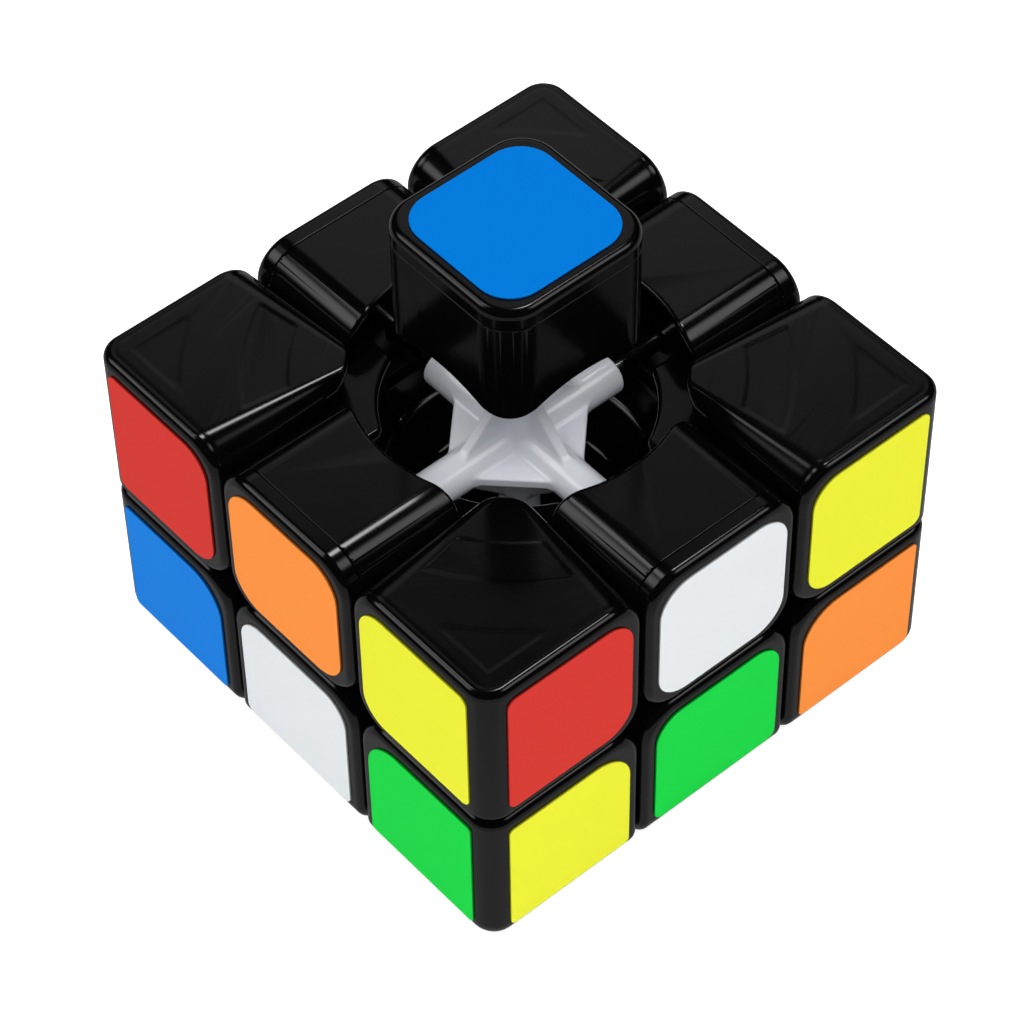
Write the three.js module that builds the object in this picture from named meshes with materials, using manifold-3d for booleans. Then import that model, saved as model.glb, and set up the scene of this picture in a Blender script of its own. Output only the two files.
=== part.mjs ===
// A 3x3x3 twisty puzzle cube with the eight outer pieces of its top layer taken off.
//
// What remains is a white six-armed core, six centres, the four edges of the middle layer, and the
// four edges and four corners of the bottom layer. Each centre turns on a screw and is pressed
// towards the core by a spring. Edges and corners have feet that reach inwards under a common
// retaining sphere, which is how the turning faces hold them.
//
// Lengths are millimetres. Shapes are drawn about the core's middle, and the whole cube is lifted so
// that it stands on z = 0. +X is the right face, -Y the front face and +Z the top.

import * as THREE from 'three';
import { mergeVertices } from 'three/addons/utils/BufferGeometryUtils.js';
import Module from 'manifold-3d';

const wasm = await Module();
wasm.setup();

// Driving dimensions of the cube.
const CUBE = 56;                          // edge length over the stickers
const HALF = CUBE / 2;
const CUT = CUBE / 6;                     // distance of every cutting plane from the middle
const GAP = 0.4;                          // clearance between neighbouring pieces
const STICKER_THICK = 0.18;
const GLUE = 0.02;
const SKIN = HALF - STICKER_THICK - GLUE; // plastic faces of the pieces
const INNER = CUT + GAP / 2;              // where a face's own pieces begin
const MIDDLE = CUT - GAP / 2;             // where the pieces between two faces end

// The retaining sphere, with the feet inside it and the blocks outside it.
const SPHERE = 17.6;
const FOOT_PLANE = 5;                     // depth of a face's feet, measured from the middle
const FOOT_HOLLOW = 13.6;                 // inner radius of the feet
const STALK = { inset: 0.2, reach: 20.5 }; // a corner's neck between its block and its foot
const BALL_AROUND = 36;
const BALL_RINGS = 18;
const REACH = 60;                         // larger than anything in the cube

// Rounding of the pieces.
const CUBE_ROUND = 2.6;                   // outer edges of the cube
const FACE_ROUND = 3.8;                   // piece corners that meet three others on a face
const SIDE_ROUND = 1;                     // piece corners along the edges of the cube
const DEEP_ROUND = 1.3;                   // the same corners deep inside the cube
const DEEP_LEVEL = 12.4;                  // how far out the corners stay like that
const ROUND_STEPS = 3;

// Shallow track, turned about a face's axis, in the sides of the pieces under that face.
const TRACK = { inner: 21, outer: 25.3, depth: 0.1 };

// Core.
const ARM_RADIUS = 2;
const ARM_REACH = 11.5;
const WEB_REACH = 8.9;                    // |x| + |y| at the rims of the webs between the arms
const WEB_THICK = 1.06;
const ARM_SIDES = 16;
const PILOT_RADIUS = 1.1;
const PILOT_END = 4.5;

// Centres.
const CENTRE_HALF = 9;
const CAP_BASE = 25.75;
const CAP_SEAM = 0.1;
const CAP_ROUND = 0.9;
const PLUG = { outer: 4.1, inner: 3.3, drop: 0.8 };
const BORE_RADIUS = 4.5;
const BORE_FLOOR = 20.6;
const SCREW_HOLE = 1.2;
const SCREW = { radius: 0.8, tip: 5, head: 2.9, seat: 24, top: 25, slot: 0.6, slotDepth: 0.6 };
const SPRING = { radius: 2.3, wire: 0.3, turns: 4, steps: 8, sides: 6, foot: 20.65, top: 23.95 };
const ROUND_SIDES = 16;

// Stickers: margins to the cube's edge and to the cutting planes, and corner radii.
const CENTRE_STICKER = { half: 7.67, round: 3.5 };
const EDGE_STICKER = { outer: 2.6, inner: 1.57, half: 7.7, outerRound: 1, innerRound: 3.1 };
const CORNER_STICKER = { outer: 2.55, inner: 1.63, outerRound: 0.6, sideRound: 0.55, innerRound: 4.2 };
const STICKER_STEPS = 3;

const FACES = {
  top: new THREE.Vector3(0, 0, 1),
  bottom: new THREE.Vector3(0, 0, -1),
  front: new THREE.Vector3(0, -1, 0),
  back: new THREE.Vector3(0, 1, 0),
  left: new THREE.Vector3(-1, 0, 0),
  right: new THREE.Vector3(1, 0, 0),
};

// Edges and corners that are still on the cube, and the colour of each side of theirs. A side
// without a colour here has its sticker added with the surface finish, not as a solid.
const CENTRES = {
  top: 'blue', bottom: 'green', front: 'orange', back: 'red', left: 'yellow', right: 'white',
};
const EDGES = [
  { front: 'yellow', right: 'red' },
  { front: 'red', left: null },
  { back: null, right: 'yellow' },
  { back: null, left: null },
  { front: 'white', bottom: null },
  { right: 'green', bottom: null },
  { back: null, bottom: null },
  { left: null, bottom: null },
];
const CORNERS = [
  { front: 'green', right: 'yellow', bottom: 'orange' },
  { front: 'blue', left: null, bottom: 'white' },
  { back: null, right: 'orange', bottom: 'blue' },
  { back: null, left: null, bottom: 'red' },
];

const PLASTIC = new THREE.MeshStandardMaterial({ color: 0x141416, roughness: 0.22, metalness: 0 });
const CORE_PLASTIC = new THREE.MeshStandardMaterial({ color: 0xe2e3e8, roughness: 0.35, metalness: 0 });
const STEEL = new THREE.MeshStandardMaterial({ color: 0xb4b6ba, roughness: 0.3, metalness: 1 });
const STICKER_COLOURS = {
  red: 0xd4302a, orange: 0xff9040, yellow: 0xefee32, green: 0x14d84c, blue: 0x0080e8, white: 0xe8ebee,
};
const STICKER_VINYL = Object.fromEntries(
  Object.entries(STICKER_COLOURS).map(([name, color]) => [
    name,
    new THREE.MeshStandardMaterial({ color, roughness: 0.4, metalness: 0 }),
  ]),
);

// ---- Solids -------------------------------------------------------------------------------------

function solidFrom(geometry) {
  const bare = geometry.index ? geometry.toNonIndexed() : geometry.clone();
  bare.deleteAttribute('normal');
  bare.deleteAttribute('uv');
  const merged = mergeVertices(bare, 1e-5);
  return new wasm.Manifold(new wasm.Mesh({
    numProp: 3,
    vertProperties: new Float32Array(merged.attributes.position.array),
    triVerts: new Uint32Array(merged.index.array),
  }));
}

function geometryFrom(solid) {
  const mesh = solid.getMesh();
  const geometry = new THREE.BufferGeometry();
  geometry.setAttribute('position', new THREE.BufferAttribute(mesh.vertProperties, 3));
  geometry.setIndex(new THREE.BufferAttribute(mesh.triVerts, 1));
  geometry.computeVertexNormals();
  return geometry;
}

function joined(solids) {
  return solids.reduce((sum, solid) => sum.add(solid));
}

function common(solids) {
  return solids.reduce((rest, solid) => rest.intersect(solid));
}

function block(low, high) {
  const size = high.map((value, axis) => value - low[axis]);
  const geometry = new THREE.BoxGeometry(...size);
  geometry.translate(...high.map((value, axis) => (value + low[axis]) / 2));
  return solidFrom(geometry);
}

function ball(radius) {
  return solidFrom(new THREE.SphereGeometry(radius, BALL_AROUND, BALL_RINGS));
}

// A solid turned about +Z. The profile is a list of [radius, z] and starts and ends on the axis.
function turned(profile, sides = ROUND_SIDES) {
  const geometry = new THREE.LatheGeometry(profile.map(([r, z]) => new THREE.Vector2(r, z)), sides);
  geometry.rotateX(Math.PI / 2);
  return solidFrom(geometry);
}

function rod(radius, low, high, sides = ROUND_SIDES) {
  return turned([[0, low], [radius, low], [radius, high], [0, high]], sides);
}

// Points of a rectangle with round corners, anticlockwise from the low corner.
function roundedOutline(low, high, radii, steps) {
  const centres = [
    [low[0] + radii[0], low[1] + radii[0]],
    [high[0] - radii[1], low[1] + radii[1]],
    [high[0] - radii[2], high[1] - radii[2]],
    [low[0] + radii[3], high[1] - radii[3]],
  ];
  const points = [];
  centres.forEach(([x, y], corner) => {
    for (let step = 0; step <= steps; step += 1) {
      const angle = Math.PI * (1 + corner / 2 + step / steps / 2);
      points.push([x + radii[corner] * Math.cos(angle), y + radii[corner] * Math.sin(angle)]);
    }
  });
  return points;
}

// A closed body through a stack of convex outlines with equally many points, lowest first.
function lofted(sections) {
  const count = sections[0].outline.length;
  const positions = sections.flatMap(({ outline, z }) => outline.flatMap(([x, y]) => [x, y, z]));
  const faces = [];
  for (let level = 0; level + 1 < sections.length; level += 1) {
    for (let point = 0; point < count; point += 1) {
      const a = level * count + point;
      const b = level * count + (point + 1) % count;
      faces.push(a, b, b + count, a, b + count, a + count);
    }
  }
  const lid = (sections.length - 1) * count;
  for (let point = 1; point + 1 < count; point += 1) {
    faces.push(0, point + 1, point);
    faces.push(lid, lid + point, lid + point + 1);
  }
  const geometry = new THREE.BufferGeometry();
  geometry.setAttribute('position', new THREE.Float32BufferAttribute(positions, 3));
  geometry.setIndex(faces);
  return solidFrom(geometry);
}

// Turns a solid that looks along +Z so that it looks along +X or +Y.
function turnedTo(solid, axis) {
  const rotation = { x: [0, 90, 0], y: [-90, 0, 0], z: [0, 0, 0] }[axis];
  return solid.rotate(rotation);
}

// ---- Mechanism ----------------------------------------------------------------------------------

// Everything that a turning face can sweep, for the face that looks along +Z. Pieces that don't
// belong to the face stay out of it.
function faceSweep() {
  const face = block([-REACH, -REACH, MIDDLE], [REACH, REACH, REACH]);
  const under = block([-REACH, -REACH, FOOT_PLANE - GAP / 2], [REACH, REACH, REACH]);
  const feet = under.intersect(ball(SPHERE + GAP / 2));
  const track = rod(TRACK.outer, MIDDLE - TRACK.depth, REACH, BALL_AROUND)
    .subtract(rod(TRACK.inner, 0, REACH, BALL_AROUND));
  return joined([face, feet, track]);
}

// A prism along +Z that gives one face of a piece its outline. Corners where two inner sides meet
// are rounder at the face than deep inside the cube.
function facePrism(low, high, corners) {
  const radii = (deep) => corners.map((corner) => {
    if (corner === 'side') return SIDE_ROUND;
    return deep ? DEEP_ROUND : FACE_ROUND;
  });
  return lofted([
    { z: FOOT_PLANE, outline: roundedOutline(low, high, radii(true), ROUND_STEPS) },
    { z: DEEP_LEVEL, outline: roundedOutline(low, high, radii(true), ROUND_STEPS) },
    { z: SKIN, outline: roundedOutline(low, high, radii(false), ROUND_STEPS) },
  ]);
}

function roundedCube() {
  const outline = (inset) => {
    const edge = SKIN - inset;
    const radius = CUBE_ROUND - inset + 0.01;
    return roundedOutline([-edge, -edge], [edge, edge], [radius, radius, radius, radius], ROUND_STEPS);
  };
  const sections = [];
  for (let step = 0; step <= ROUND_STEPS; step += 1) {
    const angle = (Math.PI / 2) * (step / ROUND_STEPS);
    const inset = CUBE_ROUND * (1 - Math.sin(angle));
    sections.push({ z: -SKIN + CUBE_ROUND * (1 - Math.cos(angle)), outline: outline(inset) });
  }
  const lower = sections.slice();
  lower.reverse().forEach(({ z, outline: points }) => sections.push({ z: -z, outline: points }));
  return lofted(sections);
}

function footZone(low, high) {
  return block(low, high).intersect(ball(SPHERE - GAP / 2)).subtract(ball(FOOT_HOLLOW));
}

// The edge between the +X and +Z faces.
function edgeSolid(sweep, cube) {
  const across = facePrism([INNER, -MIDDLE], [SKIN, MIDDLE], ['face', 'side', 'side', 'face']);
  const along = across.mirror([1, 0, -1]);
  const inside = FOOT_PLANE + GAP / 2;
  const body = common([across, along, cube]);
  const foot = footZone([inside, -MIDDLE, inside], [SPHERE, MIDDLE, SPHERE]);
  const neighbour = turnedTo(sweep, 'y');
  return body.add(foot).subtract(neighbour).subtract(neighbour.mirror([0, 1, 0]));
}

// The corner between the +X, +Y and +Z faces.
function cornerSolid(cube) {
  const prism = facePrism([INNER, INNER], [SKIN, SKIN], ['face', 'side', 'side', 'side']);
  const body = common([prism, prism.mirror([1, 0, -1]), prism.mirror([0, 1, -1]), cube]);
  const inside = FOOT_PLANE + GAP / 2;
  const foot = footZone([inside, inside, inside], [SPHERE, SPHERE, SPHERE]);
  const neck = INNER - STALK.inset;
  const stalk = block([neck, neck, neck], [SPHERE, SPHERE, SPHERE]).intersect(ball(STALK.reach));
  return joined([body, foot, stalk]);
}

function coreSolid() {
  const web = rod(WEB_REACH, -WEB_THICK / 2, WEB_THICK / 2, 4);
  const arm = rod(ARM_RADIUS, -ARM_REACH, ARM_REACH, ARM_SIDES);
  const beam = web.add(arm);
  const spider = joined(['x', 'y', 'z'].map((axis) => turnedTo(beam, axis)));
  const pilots = joined([
    rod(PILOT_RADIUS, PILOT_END, REACH, ARM_SIDES),
    rod(PILOT_RADIUS, -REACH, -PILOT_END, ARM_SIDES),
  ]);
  return ['x', 'y', 'z'].reduce((rest, axis) => rest.subtract(turnedTo(pilots, axis)), spider);
}

// ---- Centre parts, looking along +Z -------------------------------------------------------------

function centreOutline(inset) {
  const half = CENTRE_HALF - inset;
  const radius = FACE_ROUND - inset;
  return roundedOutline([-half, -half], [half, half], [radius, radius, radius, radius], ROUND_STEPS);
}

function housingSolid() {
  const outside = lofted([
    { z: CUT, outline: centreOutline(0) },
    { z: CAP_BASE - CAP_SEAM, outline: centreOutline(0) },
  ]);
  return outside
    .subtract(ball(SPHERE + GAP / 2))
    .subtract(rod(BORE_RADIUS, BORE_FLOOR, REACH))
    .subtract(rod(SCREW_HOLE, 0, REACH));
}

function capSolid() {
  const plate = lofted([
    { z: CAP_BASE, outline: centreOutline(0) },
    { z: SKIN - CAP_ROUND, outline: centreOutline(0) },
    { z: SKIN - CAP_ROUND * 0.3, outline: centreOutline(CAP_ROUND * 0.3) },
    { z: SKIN, outline: centreOutline(CAP_ROUND) },
  ]);
  const plug = rod(PLUG.outer, CAP_BASE - PLUG.drop, CAP_BASE + 0.5);
  const relief = rod(PLUG.inner, CAP_BASE - PLUG.drop - 1, CAP_BASE);
  return plate.add(plug).subtract(relief);
}

function screwSolid() {
  const blank = turned([
    [0, SCREW.tip], [SCREW.radius * 0.4, SCREW.tip], [SCREW.radius, SCREW.tip + 1.5],
    [SCREW.radius, SCREW.seat], [SCREW.head, SCREW.seat], [SCREW.head, SCREW.top - 0.4],
    [SCREW.head - 0.4, SCREW.top], [0, SCREW.top],
  ], 16);
  const reach = SCREW.head * 0.6;
  const floor = SCREW.top - SCREW.slotDepth;
  const slot = block([-reach, -SCREW.slot / 2, floor], [reach, SCREW.slot / 2, REACH]);
  return blank.subtract(slot).subtract(slot.rotate([0, 0, 90]));
}

class Helix extends THREE.Curve {
  getPoint(t, target = new THREE.Vector3()) {
    const angle = t * SPRING.turns * 2 * Math.PI;
    const low = SPRING.foot + SPRING.wire;
    const high = SPRING.top - SPRING.wire;
    return target.set(
      SPRING.radius * Math.cos(angle),
      SPRING.radius * Math.sin(angle),
      low + t * (high - low),
    );
  }
}

function springSolid() {
  const section = new THREE.Shape();
  section.absarc(0, 0, SPRING.wire, 0, 2 * Math.PI, false);
  return solidFrom(new THREE.ExtrudeGeometry(section, {
    steps: SPRING.turns * SPRING.steps,
    curveSegments: SPRING.sides / 2,
    bevelEnabled: false,
    extrudePath: new Helix(),
  }));
}

// ---- Stickers, on the +Z face -------------------------------------------------------------------

function stickerSolid(low, high, radii) {
  const outline = roundedOutline(low, high, radii, STICKER_STEPS);
  return lofted([{ z: HALF - STICKER_THICK, outline }, { z: HALF, outline }]);
}

function centreSticker() {
  const { half, round } = CENTRE_STICKER;
  return stickerSolid([-half, -half], [half, half], [round, round, round, round]);
}

function edgeSticker() {
  const { outer, inner, half, outerRound, innerRound } = EDGE_STICKER;
  const radii = [innerRound, outerRound, outerRound, innerRound];
  return stickerSolid([CUT + inner, -half], [HALF - outer, half], radii);
}

function cornerSticker() {
  const { outer, inner, outerRound, sideRound, innerRound } = CORNER_STICKER;
  const low = CUT + inner;
  const high = HALF - outer;
  return stickerSolid([low, low], [high, high], [innerRound, sideRound, outerRound, sideRound]);
}

// ---- Assembly -----------------------------------------------------------------------------------

const cube = new THREE.Group();
cube.position.z = HALF;

function place(name, geometry, material, basis) {
  const mesh = new THREE.Mesh(geometry, material);
  mesh.name = name;
  mesh.quaternion.setFromRotationMatrix(new THREE.Matrix4().makeBasis(...basis));
  cube.add(mesh);
}

// Axes of a shape drawn with +Z outwards, when it looks along the given face and, for an edge, its
// +X points at the second face.
function edgeBasis(outward, beside) {
  return [beside, new THREE.Vector3().crossVectors(outward, beside), outward];
}

function cornerBasis(outward, first, second) {
  const rightHanded = new THREE.Vector3().crossVectors(first, second).dot(outward) > 0;
  return rightHanded ? [first, second, outward] : [second, first, outward];
}

function anySide(outward) {
  return Math.abs(outward.z) > 0.5 ? FACES.right : FACES.top;
}

const sweep = faceSweep();
const roundCube = roundedCube();
const shapes = Object.fromEntries(
  Object.entries({
    core: coreSolid(),
    housing: housingSolid(),
    cap: capSolid(),
    screw: screwSolid(),
    spring: springSolid(),
    edge: edgeSolid(sweep, roundCube),
    corner: cornerSolid(roundCube),
    centreSticker: centreSticker(),
    edgeSticker: edgeSticker(),
    cornerSticker: cornerSticker(),
  }).map(([name, solid]) => [name, geometryFrom(solid)]),
);

function addCentre(face, colour) {
  const basis = edgeBasis(FACES[face], anySide(FACES[face]));
  place(`${face}_centre_housing`, shapes.housing, PLASTIC, basis);
  place(`${face}_centre_cap`, shapes.cap, PLASTIC, basis);
  place(`${face}_centre_screw`, shapes.screw, STEEL, basis);
  place(`${face}_centre_spring`, shapes.spring, STEEL, basis);
  place(`${face}_centre_sticker`, shapes.centreSticker, STICKER_VINYL[colour], basis);
}

function addEdge(sides) {
  const faces = Object.keys(sides);
  const piece = `${faces.join('_')}_edge`;
  const [first, second] = faces.map((face) => FACES[face]);
  place(`${piece}_block`, shapes.edge, PLASTIC, edgeBasis(second, first));
  faces.forEach((face, index) => {
    if (!sides[face]) return;
    const basis = edgeBasis(FACES[face], FACES[faces[1 - index]]);
    place(`${piece}_sticker_${face}`, shapes.edgeSticker, STICKER_VINYL[sides[face]], basis);
  });
}

function addCorner(sides) {
  const faces = Object.keys(sides);
  const piece = `${faces.join('_')}_corner`;
  place(`${piece}_block`, shapes.corner, PLASTIC, cornerBasis(...faces.map((face) => FACES[face])));
  faces.forEach((face) => {
    if (!sides[face]) return;
    const others = faces.filter((name) => name !== face).map((name) => FACES[name]);
    const basis = cornerBasis(FACES[face], ...others);
    place(`${piece}_sticker_${face}`, shapes.cornerSticker, STICKER_VINYL[sides[face]], basis);
  });
}

place('core', shapes.core, CORE_PLASTIC, [FACES.right, FACES.back, FACES.top]);
Object.entries(CENTRES).forEach(([face, colour]) => addCentre(face, colour));
EDGES.forEach(addEdge);
CORNERS.forEach(addCorner);

export default cube;
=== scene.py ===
"""The looks of a twisty puzzle cube whose top layer has lost its eight outer pieces.

Every plastic piece is described by a signed distance, negative inside, in millimetres about the
core's middle. A surface net turns that into a mesh whose vertices and normals lie exactly on the
rounded shape. Each new piece stands for the CAD node of the same name and rides on its body.
"""

import math

import bpy
import numpy as np
from mathutils import Matrix, Vector


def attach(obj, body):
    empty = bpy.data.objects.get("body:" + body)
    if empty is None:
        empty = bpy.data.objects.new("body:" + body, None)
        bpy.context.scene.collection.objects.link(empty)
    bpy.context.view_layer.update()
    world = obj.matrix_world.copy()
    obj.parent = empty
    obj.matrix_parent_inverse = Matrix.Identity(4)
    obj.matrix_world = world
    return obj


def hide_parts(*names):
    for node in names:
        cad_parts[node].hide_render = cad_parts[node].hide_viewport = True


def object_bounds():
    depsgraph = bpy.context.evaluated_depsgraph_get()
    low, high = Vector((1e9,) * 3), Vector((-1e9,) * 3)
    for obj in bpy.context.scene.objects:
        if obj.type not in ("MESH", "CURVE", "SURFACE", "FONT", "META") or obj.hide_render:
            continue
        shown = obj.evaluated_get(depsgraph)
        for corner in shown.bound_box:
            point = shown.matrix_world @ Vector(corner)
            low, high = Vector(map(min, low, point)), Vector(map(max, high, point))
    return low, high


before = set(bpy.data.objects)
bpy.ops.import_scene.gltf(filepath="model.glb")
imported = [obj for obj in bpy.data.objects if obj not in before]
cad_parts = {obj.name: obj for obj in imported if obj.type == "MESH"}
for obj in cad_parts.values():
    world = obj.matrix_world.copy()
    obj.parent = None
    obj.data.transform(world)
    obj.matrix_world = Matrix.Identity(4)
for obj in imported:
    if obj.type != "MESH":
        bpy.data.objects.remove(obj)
cad_low, cad_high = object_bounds()

MM = 0.001

# Driving dimensions, in millimetres.
HALF = (cad_high.x - cad_low.x) / 2 / MM
CUT = HALF / 3                      # cutting planes, from the middle
GAP = 0.4                           # clearance between neighbouring pieces
INNER = CUT + GAP / 2
MIDDLE = CUT - GAP / 2
STICKER_THICK = 0.18
SKIN = HALF - STICKER_THICK - 0.02  # plastic outer faces
SPHERE = 17.6                       # retaining sphere between feet and blocks
FOOT_PLANE = 5
FOOT_HOLLOW = 13.6
STALK = {"inset": 0.2, "reach": 20.5}

# Rounding.
CUBE_ROUND = 2.6
FACE_ROUND = 3.8
DEEP_ROUND = 1.3
DEEP_LEVEL = 12.4                   # how far out the inner corners stay that sharp
RIM_ROUND = 0.85
CUT_ROUND = 0.6                     # edges left by the spherical cut
FOOT_ROUND = 0.6
FOOT_FILLET = 0.2
NECK_FILLET = 0.4

# Relief on the sides: a line inside the rim, and a track and a recess turned about a face's axis.
RIM_LINE = {"inset": 1.1, "width": 0.25, "depth": 0.016}
TRACK = {"inner": 21.0, "outer": 25.3, "depth": 0.035, "slope": 0.5}
RECESS = {"radius": 30.6, "inset": 2.4, "round": 1.2, "depth": 0.022, "slope": 0.6}
RELIEF_FADE = 0.6                   # the relief runs out within this distance of a side's fillet

# Core.
ARM_RADIUS = 2
ARM_REACH = 11.5
WEB_REACH = 8.9
WEB_THICK = 1.06
WEB_FILLET = 0.45
ARM_END_ROUND = 0.2
CORE_EDGE_ROUND = 0.12
PILOT_RADIUS = 1.1
PILOT_END = 4.5

# Centres.
CENTRE_HALF = 9
CAP_BASE = 25.75
CAP_SEAM = 0.05
CAP_ROUND = 0.85
SEAM_ROUND = 0.08
PLUG = {"outer": 4.1, "inner": 3.3, "drop": 0.8, "overlap": 0.5, "round": 0.15, "fillet": 0.1}
BORE_RADIUS = 4.5
BORE_FLOOR = 20.6
BORE_ROUND = 0.2
SCREW_HOLE = 1.2
SCREW_HOLE_ROUND = 0.15
SCREW = {"radius": 0.8, "tip": 5, "blunt": 0.5, "seat": 24, "overlap": 0.1}
HEAD = {"radius": 2.9, "top": 25, "round": 0.3, "fillet": 0.15}
SLOT = {"width": 0.6, "reach": 0.6 * HEAD["radius"], "depth": 0.6, "round": 0.08}
THREAD = {"pitch": 0.8, "depth": 0.12, "end": 11, "runout": 0.6, "round": 0.1}
SPRING = {"radius": 2.3, "wire": 0.3, "turns": 4, "foot": 20.65, "top": 23.95}

# Stickers: margins to the cube's edge and to the cutting planes, and corner radii.
CENTRE_STICKER = {"half": 7.67, "round": 3.5}
EDGE_STICKER = {"outer": 2.6, "inner": 1.57, "half": 7.7, "outer_round": 1, "inner_round": 3.1}
CORNER_STICKER = {
    "outer": 2.55, "inner": 1.63, "outer_round": 0.6, "side_round": 0.55, "inner_round": 4.2,
}
STICKER_BEVEL = 0.06

# Mesh fineness.
VOXEL = 0.2
CAP_VOXEL = 0.75 * VOXEL
SCREW_VOXEL = 0.6 * VOXEL
MERGE_ANGLE = math.radians(0.5)
SLOPE_REACH = 0.01
SLOPE_FLOOR = 0.3                   # keeps steps towards the surface short where a field is flat

FACES = {
    "top": Vector((0, 0, 1)),
    "bottom": Vector((0, 0, -1)),
    "front": Vector((0, -1, 0)),
    "back": Vector((0, 1, 0)),
    "left": Vector((-1, 0, 0)),
    "right": Vector((1, 0, 0)),
}
CENTRES = {
    "top": "blue", "bottom": "green", "front": "orange",
    "back": "red", "left": "yellow", "right": "white",
}
EDGES = [
    {"front": "yellow", "right": "red"},
    {"front": "red", "left": "blue"},
    {"back": "blue", "right": "yellow"},
    {"back": "white", "left": "green"},
    {"front": "white", "bottom": "orange"},
    {"right": "green", "bottom": "orange"},
    {"back": "yellow", "bottom": "green"},
    {"left": "white", "bottom": "red"},
]
CORNERS = [
    {"front": "green", "right": "yellow", "bottom": "orange"},
    {"front": "blue", "left": "orange", "bottom": "white"},
    {"back": "yellow", "right": "orange", "bottom": "blue"},
    {"back": "green", "left": "white", "bottom": "red"},
]
STICKER_COLOURS = {
    "red": (0.67, 0.036, 0.026),
    "orange": (0.98, 0.29, 0.048),
    "yellow": (0.84, 0.86, 0.030),
    "green": (0.003, 0.69, 0.060),
    "blue": (0.0005, 0.21, 0.75),
    "white": (0.77, 0.80, 0.83),
}


# ---- Distances ----------------------------------------------------------------------------------

def common(a, b, radius=0.0):
    """What lies inside both, with a rounded edge where they meet."""
    beyond = np.hypot(np.maximum(a + radius, 0), np.maximum(b + radius, 0))
    return np.minimum(np.maximum(a, b), -radius) + beyond


def joined(a, b, radius=0.0):
    """What lies inside either, with a fillet where they meet."""
    return -common(-a, -b, radius)


def without(a, b, radius=0.0):
    return common(a, -b, radius)


def smooth_step(value, low, high):
    share = np.clip((value - low) / (high - low), 0, 1)
    return share * share * (3 - 2 * share)


def distance(*offsets):
    return np.sqrt(sum(offset * offset for offset in offsets))


def rounded_square(x, y, half, radius):
    u = np.abs(x) - half + radius
    v = np.abs(y) - half + radius
    return np.hypot(np.maximum(u, 0), np.maximum(v, 0)) + np.minimum(np.maximum(u, v), 0) - radius


def rod(x, y, z, radius, low, high, round_edge=0.0):
    across = np.hypot(x, y) - radius
    return common(across, np.maximum(low - z, z - high), round_edge)


def taper(height):
    """Radius of a corner between inner sides: larger at the cube's face than deep inside."""
    share = np.clip((height - DEEP_LEVEL) / (SKIN - DEEP_LEVEL), 0, 1)
    return DEEP_ROUND + (FACE_ROUND - DEEP_ROUND) * share


def rim_line(skin):
    """A fine line pressed into a side, parallel to the outer faces."""
    across = (skin + RIM_LINE["inset"]) / RIM_LINE["width"]
    return RIM_LINE["depth"] * np.exp(-across * across)


def turned_relief(rho, skin, from_side):
    """Depth of an edge's side under its cutting plane, where the feet of a layer turn over it."""
    half_slope = TRACK["slope"] / 2
    into_track = smooth_step(rho, TRACK["inner"] - half_slope, TRACK["inner"] + half_slope)
    out_of_track = smooth_step(rho, TRACK["outer"] - half_slope, TRACK["outer"] + half_slope)
    recess = common(RECESS["radius"] - rho, skin + RECESS["inset"], RECESS["round"])
    tracks = TRACK["depth"] * (into_track - out_of_track)
    tracks = tracks + RECESS["depth"] * (1 - smooth_step(recess, -RECESS["slope"], 0))
    return tracks * smooth_step(from_side, 0, RELIEF_FADE) + rim_line(skin)


def foot(x, y, z, planes):
    """A foot of a piece: the shell under the retaining sphere, beyond the given inner planes."""
    radius = distance(x, y, z)
    shell = common(FOOT_HOLLOW - radius, radius - SPHERE + GAP / 2, FOOT_ROUND)
    for plane in planes:
        shell = common(shell, FOOT_PLANE + GAP / 2 - plane, FOOT_ROUND)
    return shell


def edge_field(x, y, z):
    """The edge between the +X and +Z faces."""
    skin = common(x - SKIN, z - SKIN, CUBE_ROUND)
    from_side = np.minimum(x - INNER - taper(z), z - INNER - taper(x))
    side = np.abs(y) - MIDDLE + turned_relief(np.hypot(x, z), skin, from_side)
    across = common(side, INNER - x + rim_line(skin), taper(z))
    along = common(side, INNER - z + rim_line(skin), taper(x))
    block = common(np.maximum(across, along), skin, RIM_ROUND)
    piece = joined(block, common(foot(x, y, z, [x, z]), side, FOOT_ROUND), FOOT_FILLET)
    swept = common(distance(x, y, z) - SPHERE - GAP / 2, FOOT_PLANE - GAP / 2 - np.abs(y))
    return without(piece, swept, CUT_ROUND)


def corner_field(x, y, z):
    """The corner between the +X, +Y and +Z faces."""
    skin = common(common(x - SKIN, y - SKIN, CUBE_ROUND), z - SKIN, CUBE_ROUND)
    inner = [INNER - axis + rim_line(skin) for axis in (x, y, z)]
    sides = [
        common(inner[0], inner[1], taper(z)),
        common(inner[1], inner[2], taper(x)),
        common(inner[2], inner[0], taper(y)),
    ]
    block = common(np.maximum.reduce(sides), skin, RIM_ROUND)
    neck = INNER - STALK["inset"] - np.minimum.reduce([x, y, z])
    stalk = common(neck, distance(x, y, z) - STALK["reach"], FOOT_ROUND)
    return joined(joined(block, stalk, FOOT_FILLET), foot(x, y, z, [x, y, z]), NECK_FILLET)


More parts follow.
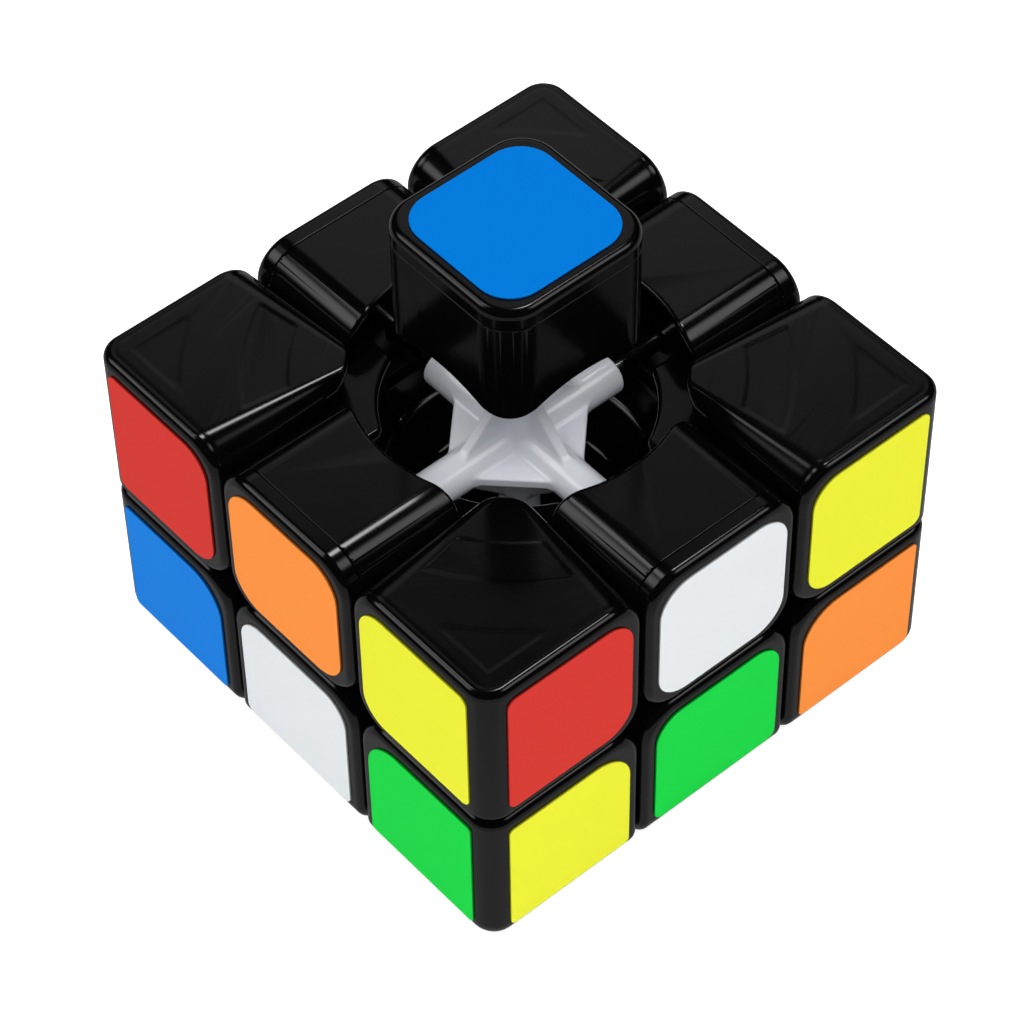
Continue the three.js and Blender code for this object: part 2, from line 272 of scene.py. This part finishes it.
def core_field(x, y, z):
    """Six arms with screw pilots in their ends, and thin webs between them."""
    axes = [(x, y, z), (y, z, x), (z, x, y)]
    spider = distance(x, y, z) - ARM_RADIUS
    for u, v, w in axes:
        rim = (np.abs(u) + np.abs(v) - WEB_REACH) / math.sqrt(2)
        web = common(rim, np.abs(w) - WEB_THICK / 2, CORE_EDGE_ROUND)
        beam = rod(u, v, w, ARM_RADIUS, -ARM_REACH, ARM_REACH, ARM_END_ROUND)
        spider = joined(joined(spider, beam, WEB_FILLET), web, WEB_FILLET)
    for u, v, w in axes:
        pilot = rod(u, v, np.abs(w), PILOT_RADIUS, PILOT_END, 2 * ARM_REACH)
        spider = without(spider, pilot, CORE_EDGE_ROUND)
    return spider


def housing_field(x, y, z):
    """A centre's body: hollowed for the spring, and open along its axis for the screw."""
    outline = rounded_square(x, y, CENTRE_HALF, FACE_ROUND)
    body = common(outline, z - CAP_BASE + CAP_SEAM, SEAM_ROUND)
    body = without(body, distance(x, y, z) - SPHERE - GAP / 2, CUT_ROUND)
    body = without(body, rod(x, y, z, BORE_RADIUS, BORE_FLOOR, HALF), BORE_ROUND)
    return without(body, rod(x, y, z, SCREW_HOLE, 0, HALF), SCREW_HOLE_ROUND)


def cap_field(x, y, z):
    """A centre's lid, with a ring below that plugs into the housing's bore."""
    outline = rounded_square(x, y, CENTRE_HALF, FACE_ROUND)
    plate = common(common(outline, z - SKIN, CAP_ROUND), CAP_BASE - z, SEAM_ROUND)
    low, high = CAP_BASE - PLUG["drop"], CAP_BASE + PLUG["overlap"]
    plug = rod(x, y, z, PLUG["outer"], low, high, PLUG["round"])
    relief = rod(x, y, z, PLUG["inner"], 0, CAP_BASE)
    return without(joined(plate, plug, PLUG["fillet"]), relief, PLUG["fillet"])


def screw_field(x, y, z):
    """A pointed screw along +Z with a thread in its lower part and a cross recess in its head."""
    turn = 2 * np.pi * z / THREAD["pitch"] - np.arctan2(y, x)
    threaded = 1 - smooth_step(z, THREAD["end"] - THREAD["runout"], THREAD["end"])
    thread = THREAD["depth"] * (0.5 - 0.5 * np.cos(turn)) * threaded
    point = (np.hypot(x, y) - (z - SCREW["tip"] + SCREW["blunt"])) / math.sqrt(2)
    shank = rod(x, y, z, SCREW["radius"], SCREW["tip"], SCREW["seat"] + SCREW["overlap"]) + thread
    shank = common(shank, point, THREAD["round"])
    head = rod(x, y, z, HEAD["radius"], SCREW["seat"], HEAD["top"], HEAD["round"])
    arms = np.minimum(
        np.maximum(np.abs(x) - SLOT["reach"], np.abs(y) - SLOT["width"] / 2),
        np.maximum(np.abs(y) - SLOT["reach"], np.abs(x) - SLOT["width"] / 2),
    )
    recess = np.maximum(arms, HEAD["top"] - SLOT["depth"] - z)
    return without(joined(shank, head, HEAD["fillet"]), recess, SLOT["round"])


# ---- Meshes -------------------------------------------------------------------------------------

def grid_lines(low, high, spacing):
    """Evenly spaced sample places along one axis, a little past both ends."""
    return np.arange(low - 1.5 * spacing, high + 2.5 * spacing, spacing)


def slope_of(field, points):
    """The field's gradient at each point."""
    slopes = []
    for axis in range(3):
        offset = np.zeros(3)
        offset[axis] = SLOPE_REACH
        ahead = field(*(points + offset).T)
        behind = field(*(points - offset).T)
        slopes.append((ahead - behind) / (2 * SLOPE_REACH))
    return np.stack(slopes, 1)


def on_surface(field, points, furthest, rounds=4):
    """Points carried onto the zero surface along the field's slope."""
    start = points
    for _ in range(rounds):
        slope = slope_of(field, points)
        steep = np.maximum((slope * slope).sum(1), SLOPE_FLOOR)
        points = points - (field(*points.T) / steep)[:, None] * slope
    moved = points - start
    length = np.maximum(np.linalg.norm(moved, axis=1), 1e-9)
    return start + moved * np.minimum(1, furthest / length)[:, None]


def part_of(array, axis, start, stop):
    index = [slice(None)] * array.ndim
    index[axis] = slice(start, stop)
    return array[tuple(index)]


def surface_net(field, lines, spacing):
    """Vertices and quads on the zero surface of a field sampled on a grid, one vertex to a cell."""
    value = field(*np.meshgrid(*lines, indexing="ij"))
    shape = np.array(value.shape)
    total = np.zeros((*(shape - 1), 3))
    count = np.zeros(shape - 1)
    crossings = []
    for axis in range(3):
        low = part_of(value, axis, 0, -1)
        high = part_of(value, axis, 1, None)
        cells = np.argwhere((low < 0) != (high < 0))
        inward = low[tuple(cells.T)]
        outward = high[tuple(cells.T)]
        place = np.stack([lines[k][cells[:, k]] for k in range(3)], 1)
        place[:, axis] += spacing * inward / (inward - outward)
        around = []
        u, v = (axis + 1) % 3, (axis + 2) % 3
        for du, dv in ((0, 0), (1, 0), (1, 1), (0, 1)):
            cell = cells.copy()
            cell[:, u] -= du
            cell[:, v] -= dv
            around.append(cell)
            np.add.at(total, tuple(cell.T), place)
            np.add.at(count, tuple(cell.T), 1)
        crossings.append((np.stack(around, 1), inward < 0))
    used = np.argwhere(count > 0)
    number = np.full(count.shape, -1)
    number[tuple(used.T)] = np.arange(len(used))
    vertices = total[tuple(used.T)] / count[tuple(used.T)][:, None]
    quads = []
    for around, leaving in crossings:
        quad = number[around[..., 0], around[..., 1], around[..., 2]]
        quads.append(np.where(leaving[:, None], quad, quad[:, ::-1]))
    return vertices, np.concatenate(quads)


def mesh_of(name, vertices, polygons):
    """A smooth mesh from places in millimetres."""
    mesh = bpy.data.meshes.new(name)
    mesh.from_pydata((np.array(vertices) * MM).tolist(), [], polygons)
    mesh.shade_smooth()
    return mesh


def thinned(mesh):
    """The mesh with the faces of each flat or straight part merged."""
    holder = bpy.data.objects.new("holder", mesh)
    bpy.context.scene.collection.objects.link(holder)
    merge = holder.modifiers.new("merge", "DECIMATE")
    merge.decimate_type = "DISSOLVE"
    merge.angle_limit = MERGE_ANGLE
    evaluated = holder.evaluated_get(bpy.context.evaluated_depsgraph_get())
    result = bpy.data.meshes.new_from_object(evaluated)
    bpy.data.objects.remove(holder)
    return result


def carved(name, field, low, high, spacing):
    """The mesh of a field inside the box from low to high, with the field's own normals."""
    lines = [grid_lines(a, b, spacing) for a, b in zip(low, high)]
    vertices, quads = surface_net(field, lines, spacing)
    vertices = on_surface(field, vertices, 0.5 * spacing)
    mesh = thinned(mesh_of(name, vertices, quads.tolist()))
    flat = np.empty(len(mesh.vertices) * 3)
    mesh.vertices.foreach_get("co", flat)
    points = on_surface(field, flat.reshape(-1, 3) / MM, 0.05)
    mesh.vertices.foreach_set("co", (points * MM).ravel())
    slopes = slope_of(field, points)
    normals = slopes / np.linalg.norm(slopes, axis=1)[:, None]
    mesh.normals_split_custom_set_from_vertices(normals.tolist())
    mesh.name = name
    return mesh


def rounded_outline(low, high, radii, steps=10):
    """Points of a rectangle with round corners, anticlockwise from the low corner."""
    middles = [
        (low[0] + radii[0], low[1] + radii[0]),
        (high[0] - radii[1], low[1] + radii[1]),
        (high[0] - radii[2], high[1] - radii[2]),
        (low[0] + radii[3], high[1] - radii[3]),
    ]
    points = []
    for corner, (x, y) in enumerate(middles):
        for step in range(steps + 1):
            angle = math.pi * (1 + corner / 2 + step / steps / 2)
            points.append((x + radii[corner] * math.cos(angle), y + radii[corner] * math.sin(angle)))
    return points


def lofted(name, sections):
    """A closed mesh through outlines at rising heights, each given as (outline, z)."""
    count = len(sections[0][0])
    vertices = [(x, y, z) for outline, z in sections for x, y in outline]
    polygons = [list(range(count))[::-1]]
    for level in range(len(sections) - 1):
        for point in range(count):
            a = level * count + point
            b = level * count + (point + 1) % count
            polygons.append([a, b, b + count, a + count])
    polygons.append([(len(sections) - 1) * count + point for point in range(count)])
    mesh = bpy.data.meshes.new(name)
    mesh.from_pydata((np.array(vertices) * MM).tolist(), [], polygons)
    return mesh


def sticker_mesh(low, high, radii):
    """A thin die-cut sheet on the +Z face whose top edge is very slightly rounded."""
    bevel = STICKER_BEVEL
    profile = [
        (0, HALF - STICKER_THICK),
        (0, HALF - bevel),
        (0.3 * bevel, HALF - 0.3 * bevel),
        (bevel, HALF),
    ]
    sections = []
    for inset, height in profile:
        corners = [(low[0] + inset, low[1] + inset), (high[0] - inset, high[1] - inset)]
        outline = rounded_outline(*corners, [radius - inset for radius in radii])
        sections.append((outline, height))
    return lofted("sticker", sections)


def spring_mesh(steps_per_turn=24, sides=10):
    """A round wire wound about +Z."""
    low = SPRING["foot"] + SPRING["wire"]
    high = SPRING["top"] - SPRING["wire"]
    steps = SPRING["turns"] * steps_per_turn
    vertices = []
    for step in range(steps + 1):
        share = step / steps
        angle = 2 * math.pi * SPRING["turns"] * share
        height = low + (high - low) * share
        for side in range(sides):
            around = 2 * math.pi * side / sides
            radius = SPRING["radius"] + SPRING["wire"] * math.cos(around)
            above = SPRING["wire"] * math.sin(around)
            vertices.append((radius * math.cos(angle), radius * math.sin(angle), height + above))
    polygons = []
    for step in range(steps):
        for side in range(sides):
            a = step * sides + side
            b = step * sides + (side + 1) % sides
            polygons.append([b, a, a + sides, b + sides])
    polygons.append(list(range(sides)))
    polygons.append([steps * sides + side for side in range(sides)][::-1])
    return mesh_of("spring", vertices, polygons)


# ---- Materials ----------------------------------------------------------------------------------

def new_material(name):
    """An empty node material with its Principled shader."""
    material = bpy.data.materials.new(name)
    material.use_nodes = True
    return material, material.node_tree, material.node_tree.nodes["Principled BSDF"]


def add_node(tree, kind, **settings):
    node = tree.nodes.new(kind)
    for key, value in settings.items():
        setattr(node, key, value)
    return node


def surface_place(tree):
    """Coordinates that ride with the piece, shifted so that no two pieces look alike."""
    where = add_node(tree, "ShaderNodeTexCoord")
    chance = add_node(tree, "ShaderNodeObjectInfo")
    shift = add_node(tree, "ShaderNodeVectorMath", operation="ADD")
    tree.links.new(where.outputs["Object"], shift.inputs[0])
    tree.links.new(chance.outputs["Random"], shift.inputs[1])
    return shift.outputs[0]


def noise(tree, place, size_mm, detail=3.0, stretch=(1, 1, 1)):
    """A cloudy pattern whose blotches are about size_mm wide."""
    mapping = add_node(tree, "ShaderNodeMapping")
    mapping.inputs["Scale"].default_value = stretch
    tree.links.new(place, mapping.inputs["Vector"])
    pattern = add_node(tree, "ShaderNodeTexNoise")
    pattern.inputs["Scale"].default_value = 1 / (size_mm * MM)
    pattern.inputs["Detail"].default_value = detail
    tree.links.new(mapping.outputs[0], pattern.inputs["Vector"])
    return pattern.outputs["Fac"]


def spread(tree, value, low, high, from_low=0.3, from_high=0.7, easing="LINEAR"):
    """The pattern's values stretched to lie between low and high."""
    node = add_node(tree, "ShaderNodeMapRange", interpolation_type=easing)
    node.inputs["From Min"].default_value = from_low
    node.inputs["From Max"].default_value = from_high
    node.inputs["To Min"].default_value = low
    node.inputs["To Max"].default_value = high
    tree.links.new(value, node.inputs["Value"])
    return node.outputs["Result"]


def plus(tree, a, b):
    node = add_node(tree, "ShaderNodeMath", operation="ADD")
    tree.links.new(a, node.inputs[0])
    tree.links.new(b, node.inputs[1])
    return node.outputs[0]


def bumped(tree, shader, height, depth_mm, strength=1.0):
    bump = add_node(tree, "ShaderNodeBump")
    bump.inputs["Distance"].default_value = depth_mm * MM
    bump.inputs["Strength"].default_value = strength
    tree.links.new(height, bump.inputs["Height"])
    tree.links.new(bump.outputs[0], shader.inputs["Normal"])


def tinted(tree, shader, share, colour, other):
    """Base colour that goes from colour to other as share goes from 0 to 1."""
    mix = add_node(tree, "ShaderNodeMix", data_type="RGBA")
    mix.inputs["A"].default_value = (*colour, 1)
    mix.inputs["B"].default_value = (*other, 1)
    tree.links.new(share, mix.inputs["Factor"])
    tree.links.new(mix.outputs["Result"], shader.inputs["Base Color"])
    return mix


def scaled(colour, factor):
    return tuple(channel * factor for channel in colour)


def black_plastic():
    """Glossy black moulded plastic with faint flow clouds and hair scratches."""
    material, tree, shader = new_material("black_plastic")
    place = surface_place(tree)
    clouds = noise(tree, place, 6)
    tinted(tree, shader, clouds, (0.0012, 0.0011, 0.0012), (0.0022, 0.0020, 0.0020))
    scratches = noise(tree, place, 0.5, 2.0, (1, 14, 3))
    polish = plus(tree, spread(tree, clouds, 0.13, 0.16), spread(tree, scratches, 0.0, 0.03, 0.6, 0.75))
    tree.links.new(polish, shader.inputs["Roughness"])
    bumped(tree, shader, noise(tree, place, 3, 1.0), 0.002, 0.3)
    return material


def core_plastic():
    """Milky white plastic that lets a little light in."""
    material, tree, shader = new_material("core_plastic")
    place = surface_place(tree)
    clouds = noise(tree, place, 5)
    tinted(tree, shader, clouds, (0.82, 0.84, 0.91), (0.87, 0.89, 0.95))
    tree.links.new(spread(tree, clouds, 0.13, 0.19), shader.inputs["Roughness"])
    bumped(tree, shader, noise(tree, place, 0.6), 0.004, 0.5)
    shader.inputs["Specular IOR Level"].default_value = 1
    shader.inputs["Subsurface Weight"].default_value = 0.2
    shader.inputs["Subsurface Radius"].default_value = (1.0, 0.95, 0.9)
    shader.inputs["Subsurface Scale"].default_value = 0.8 * MM
    return material


def steel():
    """Bright plated steel with fine drawing marks."""
    material, tree, shader = new_material("steel")
    place = surface_place(tree)
    marks = noise(tree, place, 0.4, 3.0, (3, 3, 0.3))
    tinted(tree, shader, marks, (0.50, 0.51, 0.53), (0.66, 0.67, 0.69))
    tree.links.new(spread(tree, marks, 0.18, 0.34), shader.inputs["Roughness"])
    bumped(tree, shader, marks, 0.003, 0.6)
    shader.inputs["Metallic"].default_value = 1
    return material


def sticker_vinyl(colour_name):
    """Satin vinyl: even print, a faint grain, and painted shade that darkens its cut edge."""
    colour = STICKER_COLOURS[colour_name]
    material, tree, shader = new_material(f"sticker_{colour_name}")
    place = surface_place(tree)
    print_clouds = noise(tree, place, 4)
    face = tinted(tree, shader, print_clouds, scaled(colour, 0.97), colour)
    # Painted shade: the base colour darkens where the normal turns away from +Z, which is along the
    # sheet's cut edge.
    facing = add_node(tree, "ShaderNodeTexCoord")
    apart = add_node(tree, "ShaderNodeSeparateXYZ")
    tree.links.new(facing.outputs["Normal"], apart.inputs[0])
    painted_edge_shade = add_node(tree, "ShaderNodeMix", data_type="RGBA")
    painted_edge_shade.inputs["B"].default_value = (*scaled(colour, 0.35), 1)
    tree.links.new(face.outputs["Result"], painted_edge_shade.inputs["A"])
    tree.links.new(spread(tree, apart.outputs["Z"], 1, 0, 0.3, 0.8), painted_edge_shade.inputs["Factor"])
    tree.links.new(painted_edge_shade.outputs["Result"], shader.inputs["Base Color"])
    tree.links.new(spread(tree, print_clouds, 0.3, 0.38), shader.inputs["Roughness"])
    bumped(tree, shader, noise(tree, place, 0.25), 0.004, 0.4)
    shader.inputs["Specular IOR Level"].default_value = 0.03
    return material


# ---- Pieces -------------------------------------------------------------------------------------

PLASTIC = black_plastic()
CORE_PLASTIC = core_plastic()
STEEL = steel()
VINYL = {name: sticker_vinyl(name) for name in STICKER_COLOURS}


def across_faces(first, second):
    """Axes of a shape drawn with +Z outwards, for a piece that looks along first; +X is second."""
    return [second, first.cross(second), first]


def three_faces(outward, first, second):
    if first.cross(second).dot(outward) > 0:
        return [first, second, outward]
    return [second, first, outward]


def any_side(outward):
    return FACES["right"] if abs(outward.z) > 0.5 else FACES["top"]


def put(name, mesh, material, basis, body, stands_for=True):
    """A piece turned to its place in the cube, riding on its body."""
    piece = bpy.data.objects.new(f"{name}_look", mesh)
    bpy.context.scene.collection.objects.link(piece)
    if not mesh.materials:
        mesh.materials.append(material)
    turn = Matrix(basis).transposed().to_4x4()
    piece.matrix_world = Matrix.Translation((0, 0, HALF * MM)) @ turn
    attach(piece, body)
    if stands_for:
        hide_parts(name)
    return piece


def put_sticker(name, shape, colour, basis, body):
    """A sticker, which stands for a CAD node only where there is one of its name."""
    put(name, shape.copy(), VINYL[colour], basis, body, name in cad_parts)


def moulded_shapes():
    """One mesh for each kind of piece, carved inside the box that holds it."""
    near = FOOT_PLANE + GAP / 2
    arm = ARM_REACH
    half = CENTRE_HALF
    head = HEAD["radius"]
    plug = CAP_BASE - PLUG["drop"]
    tip = SCREW["tip"]
    boxes = {
        "edge_block": (edge_field, (near, -MIDDLE, near), (SKIN, MIDDLE, SKIN), VOXEL),
        "corner_block": (corner_field, (near, near, near), (SKIN, SKIN, SKIN), VOXEL),
        "core": (core_field, (-arm, -arm, -arm), (arm, arm, arm), VOXEL),
        "housing": (housing_field, (-half, -half, DEEP_LEVEL), (half, half, CAP_BASE), VOXEL),
        "cap": (cap_field, (-half, -half, plug), (half, half, SKIN), CAP_VOXEL),
        "screw": (screw_field, (-head, -head, tip), (head, head, HEAD["top"]), SCREW_VOXEL),
    }
    return {name: carved(name, *box) for name, box in boxes.items()}


def sticker_shapes():
    """One sheet for each kind of sticker, on the +Z face with its piece's inner corner at low."""
    low = CUT + EDGE_STICKER["inner"]
    high = HALF - EDGE_STICKER["outer"]
    half = EDGE_STICKER["half"]
    inner, outer = EDGE_STICKER["inner_round"], EDGE_STICKER["outer_round"]
    edge = sticker_mesh((low, -half), (high, half), [inner, outer, outer, inner])
    low = CUT + CORNER_STICKER["inner"]
    high = HALF - CORNER_STICKER["outer"]
    side = CORNER_STICKER["side_round"]
    radii = [CORNER_STICKER["inner_round"], side, CORNER_STICKER["outer_round"], side]
    corner = sticker_mesh((low, low), (high, high), radii)
    half = CENTRE_STICKER["half"]
    centre = sticker_mesh((-half, -half), (half, half), [CENTRE_STICKER["round"]] * 4)
    return {"centre": centre, "edge": edge, "corner": corner}


def add_centre(face, colour, shapes):
    body = f"{face}_centre"
    basis = across_faces(FACES[face], any_side(FACES[face]))
    put(f"{body}_housing", shapes["housing"], PLASTIC, basis, body)
    put(f"{body}_cap", shapes["cap"], PLASTIC, basis, body)
    put(f"{body}_screw", shapes["screw"], STEEL, basis, "core_unit")
    put(f"{body}_spring", shapes["spring"], STEEL, basis, body)
    put_sticker(f"{body}_sticker", shapes["centre"], colour, basis, body)


def add_edge(sides, shapes):
    names = list(sides)
    body = f"{names[0]}_{names[1]}_edge"
    first, second = (FACES[name] for name in names)
    basis = across_faces(second, first)
    put(f"{body}_block", shapes["edge_block"], PLASTIC, basis, body)
    for name, other in (names, names[::-1]):
        basis = across_faces(FACES[name], FACES[other])
        put_sticker(f"{body}_sticker_{name}", shapes["edge"], sides[name], basis, body)


def add_corner(sides, shapes):
    names = list(sides)
    body = "_".join(names) + "_corner"
    basis = three_faces(*(FACES[name] for name in names))
    put(f"{body}_block", shapes["corner_block"], PLASTIC, basis, body)
    for name in names:
        others = [FACES[other] for other in names if other != name]
        basis = three_faces(FACES[name], *others)
        put_sticker(f"{body}_sticker_{name}", shapes["corner"], sides[name], basis, body)


def build_cube():
    shapes = {**moulded_shapes(), "spring": spring_mesh(), **sticker_shapes()}
    upright = [FACES["right"], FACES["back"], FACES["top"]]
    put("core", shapes["core"], CORE_PLASTIC, upright, "core_unit")
    for face, colour in CENTRES.items():
        add_centre(face, colour, shapes)
    for sides in EDGES:
        add_edge(sides, shapes)
    for sides in CORNERS:
        add_corner(sides, shapes)


# ---- Studio -------------------------------------------------------------------------------------

FLOOR_WIDTH = 3.0
FLOOR_GLOW = 0.75

# Angles in degrees, azimuth from the front face towards the right face; distances in metres.
CAMERA = {"azimuth": 49.84, "elevation": 49.54, "roll": -0.98, "distance": 0.35706, "lens": 134.69}
CAMERA_ASIDE = (-0.000608, -0.007355)
SENSOR_WIDTH = 36

# What the gloss shows: azimuth from the camera's, elevation, angles of full and of no light.
REFLECTED_LIGHTS = [
    {"azimuth": -97, "elevation": 40, "full": 3, "none": 17, "strength": 2.0},
    {"azimuth": 90, "elevation": 51, "full": 4, "none": 16, "strength": 2.0},
    {"azimuth": -115, "elevation": 60, "full": 1, "none": 8, "strength": 3.0},
    {"azimuth": 160, "elevation": 65, "full": 1, "none": 7, "strength": 12.0},
    {"azimuth": 180, "elevation": 35, "full": 2, "none": 19, "strength": 0.38},
]
BELOW_HORIZON = 0.28
HORIZON_BLUR = 0.02

# Large soft lamps for the colours, which leave no reflections of their own.
LAMPS = {
    "front_lamp": {"azimuth": 0, "elevation": 60, "watts": 5.6},
    "left_lamp": {"azimuth": -95, "elevation": 47, "watts": 1.3},
    "right_lamp": {"azimuth": 95, "elevation": 50, "watts": 1.3},
}
LAMP_AWAY = 0.9
LAMP_SIZE = 0.7


def direction(azimuth, elevation):
    """Unit vector from the object towards a place in the studio."""
    a, e = math.radians(azimuth), math.radians(elevation)
    return Vector((math.sin(a) * math.cos(e), -math.cos(a) * math.cos(e), math.sin(e)))


def add_camera():
    data = bpy.data.cameras.new("camera")
    data.lens = CAMERA["lens"]
    data.sensor_width = SENSOR_WIDTH
    data.clip_start = 0.01
    camera = bpy.data.objects.new("camera", data)
    bpy.context.scene.collection.objects.link(camera)
    back = direction(CAMERA["azimuth"], CAMERA["elevation"])
    right = (-back).cross(Vector((0, 0, 1))).normalized()
    up = right.cross(-back)
    roll = math.radians(CAMERA["roll"])
    right, up = (
        right * math.cos(roll) + up * math.sin(roll),
        up * math.cos(roll) - right * math.sin(roll),
    )
    turn = Matrix((right, up, back)).transposed().to_4x4()
    aside = right * CAMERA_ASIDE[0] + up * CAMERA_ASIDE[1]
    middle = Vector((0, 0, HALF * MM))
    camera.matrix_world = Matrix.Translation(middle + back * CAMERA["distance"] + aside) @ turn
    bpy.context.scene.camera = camera


def add_floor():
    mesh = bpy.data.meshes.new("floor")
    half = FLOOR_WIDTH / 2
    corners = [(-half, -half, 0), (half, -half, 0), (half, half, 0), (-half, half, 0)]
    mesh.from_pydata(corners, [], [(0, 1, 2, 3)])
    material, tree, shader = new_material("floor")
    clouds = noise(tree, surface_place(tree), 30)
    tinted(tree, shader, clouds, (0.88, 0.88, 0.88), (0.90, 0.90, 0.90))
    shader.inputs["Roughness"].default_value = 0.7
    shader.inputs["Specular IOR Level"].default_value = 0.1
    shader.inputs["Emission Color"].default_value = (1, 1, 1, 1)
    shader.inputs["Emission Strength"].default_value = FLOOR_GLOW
    mesh.materials.append(material)
    floor = bpy.data.objects.new("floor", mesh)
    floor.visible_glossy = False
    bpy.context.scene.collection.objects.link(floor)


def add_lamp(name, azimuth, elevation, watts):
    """A square soft light that faces the object."""
    data = bpy.data.lights.new(name, "AREA")
    data.size = LAMP_SIZE
    data.energy = watts
    lamp = bpy.data.objects.new(name, data)
    lamp.visible_glossy = False
    bpy.context.scene.collection.objects.link(lamp)
    towards = direction(CAMERA["azimuth"] + azimuth, elevation)
    lamp.location = towards * LAMP_AWAY + Vector((0, 0, HALF * MM))
    lamp.rotation_mode = "QUATERNION"
    lamp.rotation_quaternion = towards.to_track_quat("Z", "Y")


def soft_light(tree, view, light):
    """Light from a round patch of the surroundings that fades out smoothly."""
    towards = direction(CAMERA["azimuth"] + light["azimuth"], light["elevation"])
    along = add_node(tree, "ShaderNodeVectorMath", operation="DOT_PRODUCT")
    along.inputs[1].default_value = towards
    tree.links.new(view, along.inputs[0])
    none, full = math.cos(math.radians(light["none"])), math.cos(math.radians(light["full"]))
    return spread(tree, along.outputs["Value"], 0, light["strength"], none, full, "SMOOTHSTEP")


def add_surroundings():
    """A dark room with a few soft lights, and the dim reflection of a table below the horizon."""
    world = bpy.data.worlds.new("studio")
    bpy.context.scene.world = world
    world.use_nodes = True
    tree = world.node_tree
    view = add_node(tree, "ShaderNodeTexCoord").outputs["Generated"]
    apart = add_node(tree, "ShaderNodeSeparateXYZ")
    tree.links.new(view, apart.inputs[0])
    total = spread(tree, apart.outputs["Z"], BELOW_HORIZON, 0, -HORIZON_BLUR, HORIZON_BLUR)
    for light in REFLECTED_LIGHTS:
        total = plus(tree, total, soft_light(tree, view, light))
    background = tree.nodes["Background"]
    background.inputs["Color"].default_value = (1, 1, 1, 1)
    tree.links.new(total, background.inputs["Strength"])


def build_studio():
    add_floor()
    add_surroundings()
    for name, lamp in LAMPS.items():
        add_lamp(name, **lamp)
    bpy.context.scene.view_settings.view_transform = "Standard"
    add_camera()


build_cube()
build_studio()
